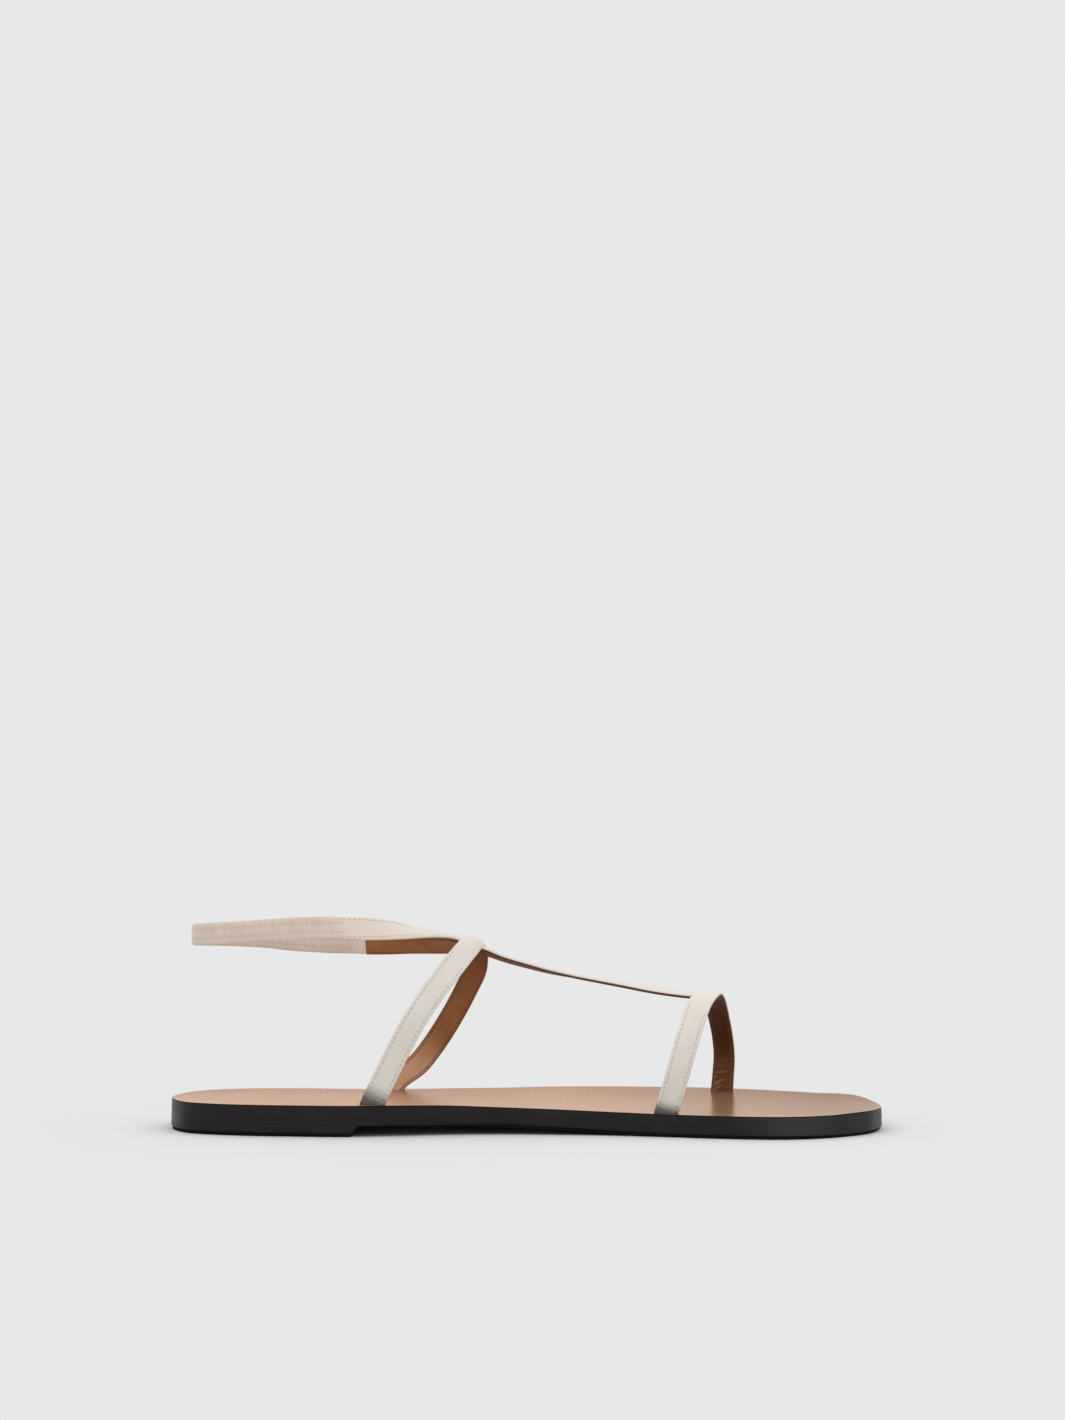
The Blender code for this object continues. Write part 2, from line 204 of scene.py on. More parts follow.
# Rows of these tables at the tops of the straps, where the inner ankle strap's stitches start, and at the
# ends of the sling
TOE_TOP_ROW = 6
INSTEP_TOP_ROW = 7
ANKLE_SEAM_ROW = 4
SLING_INNER_ROW = 6
SLING_OUTER_ROW = 17

# Half of a strap's section, from the middle of the outer face round the edge to the middle of the lining
OUTER_HALF = (
    (0.00, 0.800), (0.90, 0.797), (1.70, 0.785), (2.25, 0.768), (2.66, 0.748), (2.86, 0.708), (3.00, 0.684),
    (3.14, 0.708), (3.32, 0.736), (3.60, 0.714), (3.86, 0.622), (4.05, 0.440), (4.14, 0.190), (4.13, -0.080),
    (4.06, -0.170),
)
LINING_HALF = (
    (3.97, -0.190), (4.03, -0.270), (4.03, -0.500), (3.92, -0.660), (3.70, -0.735), (3.34, -0.760),
    (3.14, -0.742), (3.00, -0.712), (2.86, -0.742), (2.60, -0.765), (2.05, -0.775), (1.50, -0.785),
    (0.75, -0.795), (0.00, -0.800),
)

# Points of the section under this height are on the lining's face
LINING_FACE = -0.3

# Added to the across mark of a lining, so that its edges are told from those of the outer
LINING_MARK = 20.0

# Stitches: place across the strap, height on each face, thread's bulge on each face, half widths of thread
# and needle hole, their lengths as shares of the pitch, height over the leather, and length of the feet in
# painted shade
STITCH_ROW = 3.0
OUTER_STITCH = 0.700
LINING_STITCH = -0.725
OUTER_THREAD = 0.09
LINING_THREAD = 0.05
THREAD_HALF = 0.15
HOLE_HALF = 0.21
THREAD_SHARE = 0.70
HOLE_SHARE = 0.34
PROUD = 0.012
SHADED_FOOT_STITCHES = 7.5

# Outer stitch rows: gap at the strap's foot, then gaps to the strap's top along its rear and front edge
TOE_ROWS = (2.75, 21.0, 25.0)
INSTEP_ROWS = (2.6, 13.0, 17.0)

# Height over the footbed at which the painted shade at a strap's foot fades out
TOE_SHADE_REACH = 5.0
INSTEP_SHADE_REACH = 7.4

# Wrinkles in the lining at the outer foot of the toe strap:
# distance from the end, place across, half length, lean, half width, height
WRINKLES = (
    (3.2, -2.4, 1.5, 12.0, 0.24, 0.27),
    (4.3, -1.9, 2.1, 24.0, 0.26, 0.34),
    (5.5, -2.3, 1.8, 30.0, 0.27, 0.34),
    (6.9, -1.1, 2.3, 22.0, 0.30, 0.31),
    (8.3, -2.6, 1.2, 34.0, 0.27, 0.27),
    (10.3, -0.6, 2.6, 8.0, 0.40, 0.22),
    (12.6, -1.4, 1.8, -6.0, 0.40, 0.14),
    (4.8, 1.8, 1.1, -12.0, 0.27, 0.16),
    (14.8, 0.8, 2.2, 5.0, 0.46, 0.10),
)

# Ruched sling: pitch and depth of the puckers, the rows that are stitched down, the gaps at both ends
# without holes, the step that finds the holes, the seams' holes at each end, how far the sling laps over
# the straps' ends, how soon it widens to them, and its half width and half thicknesses there
RUCHE_PITCH = 0.95
RUCHE_DEPTH = 0.16
RUCHE_ROWS = (1.5, -1.5)
RUCHE_GAPS = (7.0, 5.0)
RUCHE_SEARCH = 0.02
SEAM_HOLES = 5
SLING_LAP = 0.6
SLING_EASE = 7.0
SLING_END_HALF = STRAP_HALF - 0.15
SLING_END_OUTER = 0.74
SLING_END_INNER = 0.66

# Light: brightness of the studio at the horizon, how much of it the floor gives back, and how much of the
# floor's light the brighter part overhead sends
HORIZON = 0.806
FLOOR_ALBEDO = 0.70
OVERHEAD_SHARE = 0.608
FLOOR_HALF = 120.0

# Camera, level and square to the side of the shoe
CAMERA_SPOT = (0.0023, -1.3591, 0.1471)
CAMERA_LENS = 97.2
CAMERA_SENSOR = 36.0
CAMERA_REACH = 500.0

MID_LENGTH = 0.5 * (HEEL_BACK[0] + TOE_TIP[0])
MID_WIDTH = 0.5 * (min(row[1] for row in OUTLINE) + max(row[2] for row in OUTLINE))
SOLE_START = HEEL_BACK[0] + TIP_INSET
SOLE_STOP = TOE_TIP[0] - TIP_INSET


# Curves and sections

def smooth(low, high, value):
    """Eased step from 0 at low to 1 at high."""
    t = min(max((value - low) / (high - low), 0.0), 1.0)
    return t * t * (3.0 - 2.0 * t)


def placed(along, across, up):
    """Pattern millimetres to metres in the part's frame."""
    return Vector(((along - MID_LENGTH) * MM, (across - MID_WIDTH) * MM, up * MM))


def spline(points, per_span, closed=False):
    """Points on a smooth curve through the given vectors."""
    total = len(points)
    spans = total if closed else total - 1
    curve = []
    for span in range(spans):
        if closed:
            quad = [points[(span + k) % total] for k in (-1, 0, 1, 2)]
        else:
            quad = [points[min(max(span + k, 0), total - 1)] for k in (-1, 0, 1, 2)]
        before, start, end, after = quad
        for step in range(per_span):
            t = step / per_span
            curve.append(
                0.5 * (2.0 * start + (end - before) * t
                       + (2.0 * before - 5.0 * start + 4.0 * end - after) * t ** 2
                       + (3.0 * (start - end) + after - before) * t ** 3)
            )
    if not closed:
        curve.append(points[-1].copy())
    return curve


def eased(column, along):
    """Column of the side view at a station, level wherever two neighbouring rows are equal."""
    rows = PROFILE
    if along <= rows[0][0]:
        return rows[0][column]
    for index in range(len(rows) - 1):
        left, right = rows[index], rows[index + 1]
        if along <= right[0]:
            break
    width = right[0] - left[0]
    slope = (right[column] - left[column]) / width

    def tangent(at):
        if at <= 0 or at >= len(rows) - 1:
            return slope
        low = (rows[at][column] - rows[at - 1][column]) / (rows[at][0] - rows[at - 1][0])
        high = (rows[at + 1][column] - rows[at][column]) / (rows[at + 1][0] - rows[at][0])
        if low * high <= 0.0:
            return 0.0
        return 2.0 * low * high / (low + high)

    t = min((along - left[0]) / width, 1.0)
    start, end = tangent(index), tangent(index + 1)
    return (left[column] * (2 * t ** 3 - 3 * t ** 2 + 1) + right[column] * (3 * t ** 2 - 2 * t ** 3)
            + width * (start * (t ** 3 - 2 * t ** 2 + t) + end * (t ** 3 - t ** 2)))


def outline_side(column):
    """Dense run of one edge of the sole, from the back of the heel to the tip of the toe."""
    inner = [Vector((row[0], row[1])) for row in OUTLINE]
    outer = [Vector((row[0], row[2])) for row in OUTLINE]
    ring = [Vector(HEEL_BACK)] + outer + [Vector(TOE_TIP)] + inner[::-1]
    per_span = 40
    dense = spline(ring, per_span, closed=True)
    dense.append(dense[0])
    turn = (len(OUTLINE) + 1) * per_span
    if column == 2:
        return dense[:turn + 1]
    return dense[turn:][::-1]


EDGES = {1: outline_side(1), 2: outline_side(2)}


@lru_cache(maxsize=None)
def edge_point(column, along):
    """Point on one edge at a station and the outward direction there."""
    run = EDGES[column]
    for start, end in zip(run, run[1:]):
        if start.x <= along <= end.x and end.x > start.x:
            break
    t = (along - start.x) / (end.x - start.x)
    way = (end - start).normalized()
    outward = Vector((-way.y, way.x)) if column == 2 else Vector((way.y, -way.x))
    return start.lerp(end, t), outward


def rim_point(column, along, offset, up):
    spot, outward = edge_point(column, along)
    return placed(spot.x + outward.x * offset, spot.y + outward.y * offset, up)


def flare(up):
    return WALL_FLARE * (1.0 - up / (HEEL_HEIGHT + TREAD))


def rim_top(column, along):
    return eased(2, along) + TREAD + (eased(4, along) if column == 2 else 0.0)


def across_row(left, right, along, count):
    """Points between two rim points, sunk by the dish of the footbed and curling up to the higher rim."""
    low, high = sorted((left.z, right.z))
    dish = eased(3, along) * MM
    row = []
    for step in range(1, count):
        share = step / count
        curl = share if right.z > left.z else 1.0 - share
        spot = left.lerp(right, share)
        spot.z = low + (high - low) * curl ** 4 - dish * (1.0 - (2.0 * share - 1.0) ** 2)
        row.append(spot)
    return row


def stations(first, last, count):
    """Stations along the sole, closer together at both ends."""
    return [first + (last - first) * 0.5 * (1.0 - math.cos(math.pi * step / count))
            for step in range(count + 1)]


class Path:
    """Centre line of a strap with the way its outer face looks; distances in millimetres."""

    def __init__(self, points, looks):
        self.points = points
        self.looks = looks
        last = len(points) - 1
        self.ways = [(points[min(k + 1, last)] - points[max(k - 1, 0)]).normalized() for k in range(last + 1)]
        self.runs = [0.0]
        for first, second in zip(points, points[1:]):
            self.runs.append(self.runs[-1] + (second - first).length / MM)
        self.end = self.runs[-1]

    def at(self, run):
        """Centre, direction of travel, outward and sideways directions at a distance."""
        index = min(max(bisect_right(self.runs, run) - 1, 0), len(self.runs) - 2)
        share = (run - self.runs[index]) / (self.runs[index + 1] - self.runs[index])
        spot = self.points[index].lerp(self.points[index + 1], share)
        way = self.ways[index].lerp(self.ways[index + 1], share).normalized()
        look = self.looks[index].lerp(self.looks[index + 1], share)
        look = (look - way * look.dot(way)).normalized()
        return spot, way, look, way.cross(look)

    def backwards(self):
        return Path(self.points[::-1], self.looks[::-1])


PER_SPAN = 30


def strap_line(rows):
    return spline([placed(row[0], row[1], row[2] + TREAD) for row in rows], PER_SPAN)


def foot_path(rows):
    """Path of a strap over the foot, its outer face turned by the rows' side and toe angles."""
    looks = []
    for row in rows:
        side, toe = math.radians(row[3]), math.radians(row[4])
        looks.append(Vector((math.sin(toe), math.cos(toe) * math.sin(side), math.cos(toe) * math.cos(side))))
    return Path(strap_line(rows), spline(looks, PER_SPAN))


def loop_path(rows):
    """Path of the ankle loop, its outer face leaning from upright by the rows' tilt."""
    points = strap_line(rows)
    tilts = spline([Vector((row[3], 0.0)) for row in rows], PER_SPAN)
    looks = []
    for index, tilt in enumerate(tilts):
        way = points[min(index + 1, len(points) - 1)] - points[max(index - 1, 0)]
        level = Vector((way.y, -way.x, 0.0)).normalized()
        lean = math.radians(tilt.x)
        looks.append(-level * math.cos(lean) + Vector((0.0, 0.0, math.sin(lean))))
    return Path(points, looks)


STRAP_RING = (list(OUTER_HALF) + list(LINING_HALF)
              + [(-w, t) for w, t in LINING_HALF[-2::-1]] + [(-w, t) for w, t in OUTER_HALF[:0:-1]])


def lined_faces(raised=0):
    """Which faces round the section are lining; raised moves its border up the edges, point by point."""
    first = len(OUTER_HALF) - 1 - raised
    return [int(first <= k < len(STRAP_RING) - first) for k in range(len(STRAP_RING))]


# Meshes

def mesh_object(name, verts, faces, mats, kinds=None, sharp=45.0, marks=None, closed=True):
    """Mesh object with outward normals, smooth shading and named numbers on its points."""
    mesh = bpy.data.meshes.new(name)
    mesh.from_pydata(verts, [], faces)
    for mat in mats:
        mesh.materials.append(mat)
    if kinds:
        mesh.polygons.foreach_set("material_index", kinds)
    for label, values in (marks or {}).items():
        mesh.attributes.new(label, "FLOAT", "POINT").data.foreach_set("value", values)
    if closed:
        bm = bmesh.new()
        bm.from_mesh(mesh)
        bmesh.ops.recalc_face_normals(bm, faces=bm.faces)
        bm.to_mesh(mesh)
        bm.free()
    mesh.shade_smooth()
    mesh.set_sharp_from_angle(angle=math.radians(sharp))
    obj = bpy.data.objects.new(name, mesh)
    bpy.context.scene.collection.objects.link(obj)
    return obj


def ring_faces(first, rings, count):
    """Quads between rings of equal count that start at a point, and a cap on both ends."""
    last = first + (rings - 1) * count
    faces = []
    for base in range(first, last, count):
        for k in range(count):
            n = (k + 1) % count
            faces.append((base + k, base + n, base + count + n, base + count + k))
    faces.append(tuple(range(first, first + count))[::-1])
    faces.append(tuple(range(last, last + count)))
    return faces


def lofted(name, loops, mats, strip_kinds=None, sharp=45.0, marks=None):
    """Closed solid through loops of equal count, its strips numbered by material."""
    count = len(loops[0])
    verts = [spot for loop in loops for spot in loop]
    kinds = (strip_kinds or [0] * count) * (len(loops) - 1) + [0, 0]
    return mesh_object(name, verts, ring_faces(0, len(loops), count), mats, kinds, sharp, marks)


def cut(target, cutter):
    """Takes the cutter's space out of the target, for good."""
    mod = target.modifiers.new("cut", "BOOLEAN")
    mod.operation = "DIFFERENCE"
    mod.solver = "EXACT"
    mod.object = cutter
    graph = bpy.context.evaluated_depsgraph_get()
    mesh = bpy.data.meshes.new_from_object(target.evaluated_get(graph))
    target.modifiers.clear()
    old, target.data = target.data, mesh
    bpy.data.meshes.remove(old)
    mesh.set_sharp_from_angle(angle=math.radians(40.0))


# Materials

class Finish:
    """Node material built step by step; plain numbers go straight on the shader's sockets."""

    def __init__(self, name, roughness, specular, gleam=(1.0, 1.0, 1.0)):
        self.mat = bpy.data.materials.new(name)
        self.mat.use_nodes = True
        self.tree = self.mat.node_tree
        self.shader = self.tree.nodes["Principled BSDF"]
        self.shader.inputs["Roughness"].default_value = roughness
        self.shader.inputs["Specular IOR Level"].default_value = specular
        self.shader.inputs["Specular Tint"].default_value = (*gleam, 1.0)

    def add(self, kind, inputs=None, **settings):
        node = self.tree.nodes.new(kind)
        for key, value in settings.items():
            setattr(node, key, value)
        for socket, value in (inputs or {}).items():
            self.put(node.inputs[socket], value)
        return node

    def put(self, socket, value):
        if isinstance(value, bpy.types.NodeSocket):
            self.tree.links.new(value, socket)
        else:
            socket.default_value = value

    def place(self, stretch=(1.0, 1.0, 1.0)):
        coords = self.add("ShaderNodeTexCoord")
        return self.add("ShaderNodeMapping", {0: coords.outputs["Object"], 3: stretch}).outputs[0]

    def mark(self, label):
        return self.add("ShaderNodeAttribute", attribute_name=label).outputs["Fac"]

    def strap_place(self, stretch):
        spot = self.add("ShaderNodeCombineXYZ", {0: self.mark("along"), 1: self.mark("across")})
        return self.add("ShaderNodeMapping", {0: spot.outputs[0], 3: stretch}).outputs[0]

    def noise(self, vector, scale, detail=3.0, rough=0.55):
        return self.add("ShaderNodeTexNoise", {"Vector": vector, "Scale": scale, "Detail": detail,
                                               "Roughness": rough}).outputs[0]

    def cells(self, vector, scale):
        return self.add("ShaderNodeTexVoronoi", {"Vector": vector, "Scale": scale},
                        feature="DISTANCE_TO_EDGE").outputs["Distance"]

    def range(self, value, low, high, to_low, to_high):
        return self.add("ShaderNodeMapRange", {0: value, 1: low, 2: high, 3: to_low, 4: to_high}).outputs[0]

    def ramp(self, value, *stops):
        node = self.add("ShaderNodeValToRGB", {0: value})
        elements = node.color_ramp.elements
        while len(elements) < len(stops):
            elements.new(0.5)
        for element, (place, color) in zip(elements, stops):
            element.position = place
            element.color = (*color, 1.0)
        return node.outputs[0]

    def blend(self, factor, first, second, how="MIX"):
        inputs = {0: factor}
        for socket, value in ((6, first), (7, second)):
            inputs[socket] = value if isinstance(value, bpy.types.NodeSocket) else (*value, 1.0)
        return self.add("ShaderNodeMix", inputs, data_type="RGBA", blend_type=how).outputs[2]

    def combine(self, first, second, how="MULTIPLY"):
        return self.add("ShaderNodeMath", {0: first, 1: second}, operation=how).outputs[0]

    def bump(self, height, strength, distance, under=None):
        inputs = {"Height": height, "Strength": strength, "Distance": distance}
        if under:
            inputs["Normal"] = under
        return self.add("ShaderNodeBump", inputs).outputs[0]

    def done(self, color=None, roughness=None, normal=None):
        for label, value in (("Base Color", color), ("Roughness", roughness), ("Normal", normal)):
            if value:
                self.put(self.shader.inputs[label], value)
        return self.mat


def cream_leather():
    """Cream outer leather, warmer where blushed, with blotchy painted shade at the feet of the straps."""
    f = Finish("strap_cream", 0.5, 0.35)
    spot = f.place()
    cloud = f.noise(spot, 70.0, 4.0)
    tint = f.ramp(cloud, (0.30, (0.680, 0.626, 0.560)), (0.52, (0.718, 0.668, 0.606)),
                  (0.75, (0.746, 0.704, 0.646)))
    tint = f.blend(f.mark("blush"), tint, (0.735, 0.640, 0.550))
    grain = f.noise(spot, 1500.0, 5.0, 0.62)
    pores = f.cells(spot, 1150.0)
    tint = f.blend(f.range(pores, 0.02, 0.10, 0.16, 0.0), tint, (0.54, 0.47, 0.40))
    # Painted shade at the feet of the straps, made blotchy by noise
    shade_blotch = f.noise(f.strap_place((0.9, 1.1, 1.0)), 1.5, 5.0, 0.7)
    soiled = f.combine(f.mark("soil"), f.range(shade_blotch, 0.30, 0.62, 0.72, 1.25))
    tint = f.blend(f.range(soiled, 0.0, 1.0, 0.0, 0.95), tint, (0.052, 0.047, 0.042))
    rough = f.range(grain, 0.3, 0.7, 0.44, 0.60)
    normal = f.bump(pores, 0.22, 0.00010)
    normal = f.bump(grain, 0.30, 0.00012, normal)
    return f.done(tint, rough, normal)


def brown_lining():
    """Brown lining with darker streaks, yellower stretches and dark edges; painted shade where it lies under
    the straps and faces down, and painted light at the instep strap's outer foot and on the wrinkles' ridges.
    """
    f = Finish("lining_brown", 0.58, 0.12)
    spot = f.place()
    streak = f.noise(f.strap_place((0.10, 0.9, 1.0)), 1.3, 4.0)
    cloud = f.noise(spot, 130.0, 4.0)
    tint = f.ramp(cloud, (0.28, (0.270, 0.106, 0.040)), (0.55, (0.325, 0.132, 0.053)),
                  (0.78, (0.370, 0.162, 0.072)))
    tint = f.blend(f.range(streak, 0.35, 0.75, 0.0, 0.35), tint, (0.240, 0.094, 0.035))
    # Painted shade on the lining, where it lies under the straps' tops and faces down
    tint = f.blend(f.mark("tone"), tint, (0.068, 0.026, 0.010))
    tint = f.blend(f.mark("gold"), tint, (0.240, 0.110, 0.028))
    # Painted light on the lining where the instep strap runs down to the footbed, patchy by noise
    light_patch = f.noise(f.strap_place((0.55, 0.35, 1.0)), 1.9, 4.0, 0.6)
    worn = f.combine(f.mark("worn"), f.range(light_patch, 0.30, 0.62, 0.70, 1.0))
    tint = f.blend(worn, tint, (0.700, 0.410, 0.260))
    # Painted highlight on the ridges of the lining's wrinkles
    tint = f.blend(f.mark("ridge_light"), tint, (0.360, 0.190, 0.072))
    side = f.combine(f.combine(f.mark("across"), LINING_MARK, "SUBTRACT"), 0.0, "ABSOLUTE")
    tint = f.blend(f.range(side, 3.1, 3.8, 0.0, 0.6), tint, (0.130, 0.062, 0.022))
    grain = f.noise(spot, 1900.0, 4.0, 0.6)
    rough = f.range(grain, 0.3, 0.7, 0.50, 0.68)
    normal = f.bump(grain, 0.35, 0.00012)
    return f.done(tint, rough, normal)


def ruched_leather():
    """Beige cover of the sling, with painted shade in its gathers and in the hollows of its puckers."""
    f = Finish("sling_beige", 0.6, 0.28)
    spot = f.place()
    cloud = f.noise(spot, 110.0, 4.0)
    tint = f.ramp(cloud, (0.30, (0.655, 0.545, 0.452)), (0.55, (0.702, 0.594, 0.500)),
                  (0.78, (0.732, 0.634, 0.545)))
    fade = f.mark("fade")
    tint = f.blend(fade, tint, (0.735, 0.640, 0.550))
    gathers = f.noise(f.strap_place((1.5, 0.16, 1.0)), 1.0, 3.0, 0.6)
    # Painted shade in the low parts of the gathers, none on the smooth ends
    gather_shade = f.combine(f.range(gathers, 0.35, 0.60, 0.26, 0.0), f.range(fade, 0.0, 1.0, 1.0, 0.0))
    tint = f.blend(gather_shade, tint, (0.490, 0.395, 0.318))
    # Painted shade in the hollows of the puckers
    tint = f.blend(f.range(f.mark("fold"), 0.0, 1.0, 0.48, 0.0), tint, (0.400, 0.315, 0.250))
    grain = f.noise(spot, 1700.0, 4.0, 0.6)
    rough = f.range(grain, 0.3, 0.7, 0.50, 0.68)
    normal = f.bump(gathers, 0.25, 0.00020)
    normal = f.bump(grain, 0.30, 0.00012, normal)
    return f.done(tint, rough, normal)


def tan_footbed():
    """Polished tan leather with painted shade towards the toe and the outer side, and a dark rim."""
    f = Finish("insole_tan", 0.24, 0.03, (0.98, 0.82, 0.70))
    f.shader.inputs["Metallic"].default_value = 0.62
    spot = f.place()
    cloud = f.noise(spot, 38.0, 5.0)
    tint = f.ramp(cloud, (0.30, (0.600, 0.382, 0.246)), (0.55, (0.640, 0.414, 0.273)),
                  (0.78, (0.665, 0.441, 0.298)))
    streak = f.noise(f.place((1.0, 14.0, 14.0)), 26.0, 4.0, 0.6)
    tint = f.blend(f.range(streak, 0.50, 0.75, 0.0, 0.25), tint, (0.669, 0.431, 0.284))
    toeward = f.add("ShaderNodeSeparateXYZ", {0: spot}).outputs["X"]
    # Painted shade, darker towards the toe
    tint = f.blend(f.range(toeward, 0.02, 0.11, 0.0, 0.70), tint, (0.270, 0.134, 0.068))
    # Painted shade, darker towards the outer rim
    outer_side_shade = f.ramp(f.mark("side"), (0.0, (0.70, 0.69, 0.68)), (0.5, (0.93, 0.93, 0.93)),
                   (0.95, (1.0, 1.0, 1.0)))
    tint = f.blend(1.0, tint, outer_side_shade, "MULTIPLY")
    pores = f.cells(spot, 900.0)
    tint = f.blend(f.range(pores, 0.02, 0.10, 0.14, 0.0), tint, (0.255, 0.132, 0.072))
    inset = f.mark("inset")
    tint = f.blend(f.range(inset, 0.6, 2.4, 0.30, 0.0), tint, (0.575, 0.372, 0.245))
    tint = f.blend(f.range(inset, 0.12, 0.34, 1.0, 0.0), tint, (0.014, 0.009, 0.007))
    grain = f.noise(spot, 1300.0, 4.0, 0.6)
    matt = f.range(toeward, 0.0, 0.06, 0.05, 0.0)
    rough = f.combine(f.range(grain, 0.3, 0.7, 0.20, 0.28), matt, "ADD")
    normal = f.bump(pores, 0.05, 0.00010)
    normal = f.bump(grain, 0.04, 0.00010, normal)
    return f.done(tint, rough, normal)


def painted_edge(name):
    """Black edge paint on the walls, brushed lengthwise, with a painted sheen at the toe."""
    f = Finish(name, 0.4, 0.22)
    spot = f.place()
    cloud = f.noise(spot, 55.0, 5.0)
    tint = f.ramp(cloud, (0.30, (0.0072, 0.0060, 0.0056)), (0.70, (0.0110, 0.0094, 0.0088)))
    brushed = f.noise(f.place((1.0, 1.0, 22.0)), 60.0, 4.0, 0.6)
    tint = f.blend(f.range(brushed, 0.55, 0.80, 0.0, 0.5), tint, (0.0165, 0.0145, 0.0138))
    toeward = f.add("ShaderNodeSeparateXYZ", {0: spot}).outputs["X"]
    # Painted sheen on the wall at the toe
    toe_sheen = f.combine(f.range(toeward, 0.070, 0.090, 0.0, 0.6), f.range(toeward, 0.098, 0.110, 1.0, 0.35))
    tint = f.blend(toe_sheen, tint, (0.042, 0.042, 0.043))
    rough = f.range(brushed, 0.25, 0.75, 0.30, 0.50)
    grain = f.noise(spot, 1400.0, 4.0, 0.6)
    normal = f.bump(brushed, 0.25, 0.00012)
    normal = f.bump(grain, 0.22, 0.00012, normal)
    return f.done(tint, rough, normal)


def tread_rubber():
    """Matt black rubber."""
    f = Finish("tread_black", 0.8, 0.1)
    spot = f.place()
    cloud = f.noise(spot, 90.0, 4.0)
    tint = f.ramp(cloud, (0.30, (0.0045, 0.0042, 0.0042)), (0.70, (0.0072, 0.0068, 0.0066)))
    rough = f.range(cloud, 0.3, 0.7, 0.74, 0.88)
    grain = f.noise(spot, 1300.0, 4.0, 0.6)
    normal = f.bump(grain, 0.4, 0.00015)
    return f.done(tint, rough, normal)


def thread(name, low, high):
    """Twisted thread between two colours."""
    f = Finish(name, 0.62, 0.25)
    twist = f.noise(f.place(), 3800.0, 2.0)
    return f.done(f.ramp(twist, (0.35, low), (0.65, high)), None, f.bump(twist, 0.4, 0.00008))


def needle_hole(name, low, high):
    """Painted shade inside a needle hole, between two colours."""
    f = Finish(name, 0.9, 0.1)
    return f.done(f.ramp(f.noise(f.place(), 2500.0, 2.0), (0.35, low), (0.65, high)))


CREAM = cream_leather()
BROWN = brown_lining()
RUCHED = ruched_leather()
TAN = tan_footbed()
SOLE = painted_edge("sole_black")
LIFT = painted_edge("lift_black")
TREADED = tread_rubber()
PALE_THREAD = thread("thread_cream", (0.60, 0.55, 0.48), (0.74, 0.69, 0.61))
BROWN_THREAD = thread("thread_brown", (0.190, 0.086, 0.028), (0.280, 0.130, 0.046))
# Needle holes: flat ovals painted dark for the shade inside the holes
PALE_HOLE = needle_hole("hole_grey", (0.295, 0.280, 0.257), (0.385, 0.366, 0.336))
SLING_HOLE = needle_hole("hole_beige", (0.375, 0.296, 0.238), (0.470, 0.382, 0.314))
BROWN_HOLE = needle_hole("hole_brown", (0.044, 0.019, 0.010), (0.064, 0.029, 0.014))
# Darkest needle holes, for the feet of the straps in painted shade
SHADED_FOOT_HOLE = needle_hole("hole_soiled", (0.080, 0.074, 0.065), (0.120, 0.111, 0.099))


# Sole

def tread_rows(low, layer):
    """Tread layer set in under the wall, as (outward offset, height) from the floor up to the step."""
    inset = flare(low) - TREAD_INSET
    return [(inset - LOWER_EDGE, low), (inset - 0.3 * LOWER_EDGE, low + 0.3 * LOWER_EDGE),
            (inset, low + LOWER_EDGE), (inset, low + layer - 0.12), (inset + 0.10, low + layer)]


def wall_rows(low, high, steps, edge=WALL_EDGE, ease=0.14):
    """Painted wall from its rounded lower edge to its eased top, as (outward offset, height)."""
    rows = [(flare(low) - edge, low), (flare(low) - 0.3 * edge, low + 0.3 * edge)]
    for step in range(steps + 1):
        up = low + edge + (high - ease - low - edge) * step / steps
        rows.append((flare(up), up))
    rows.append((flare(high) - 0.3 * ease, high - 0.3 * ease))
    rows.append((flare(high) - ease, high))
    return rows


def treaded_faces(loop):
    """Which faces round a section of the sole are tread: the floor's and five up each side."""
    return [1] * 6 + [0] * (len(loop) - 11) + [1] * 5


def sole_body():
    """Plate of the sole: painted wall, with the tread layer under it from the arch to the toe."""
    loops = []
    for s in stations(SOLE_START, SOLE_STOP, 240):
        low = eased(1, s)
        bare = 1.0 - smooth(*LAYER_STRETCH, s)
        layer = TREAD_LAYER * (1.0 - TOE_THINNING * smooth(*TOE_STRETCH, s))
        step = low + layer * (1.0 - bare)
        edge = SHARP_EDGE + (WALL_EDGE - SHARP_EDGE) * smooth(*EDGE_STRETCH, s)
        under = [(min(offset + TREAD_INSET * bare, flare(low) - edge), low + (up - low) * (1.0 - 0.98 * bare))
                 for offset, up in tread_rows(low, layer)]
        sides = []
        for column in (1, 2):
            rows = under + wall_rows(step, rim_top(column, s) - SKIN, 5, edge)
            sides.append([rim_point(column, s, offset, up) for offset, up in rows])
        inner, outer = sides
        loops.append(inner[:1] + outer + across_row(outer[-1], inner[-1], s, BED_UNDER) + inner[:0:-1])
    return lofted("sole_body", loops, [SOLE, TREADED], treaded_faces(loops[0]), sharp=35.0)


def heel_piece():
    """Heel lift with its slanted breast, painted over a tread layer of its own."""
    loops = []
    for s in stations(SOLE_START, BREAST_TOP, 90):
        s_low = SOLE_START + (s - SOLE_START) * (BREAST_BOTTOM - SOLE_START) / (BREAST_TOP - SOLE_START)
        high = eased(1, s) - SHARP_EDGE
        rows = tread_rows(0.0, TREAD_LAYER) + wall_rows(TREAD_LAYER, high, 3, ease=SHARP_EDGE)
        inner, outer = [], []
        for offset, up in rows:
            at = s_low + (s - s_low) * up / high
            inner.append(rim_point(1, at, offset, up))
            outer.append(rim_point(2, at, offset, up))
        loops.append(inner[:1] + outer + inner[:0:-1])
    return lofted("heel_piece", loops, [LIFT, TREADED], treaded_faces(loops[0]), sharp=35.0)


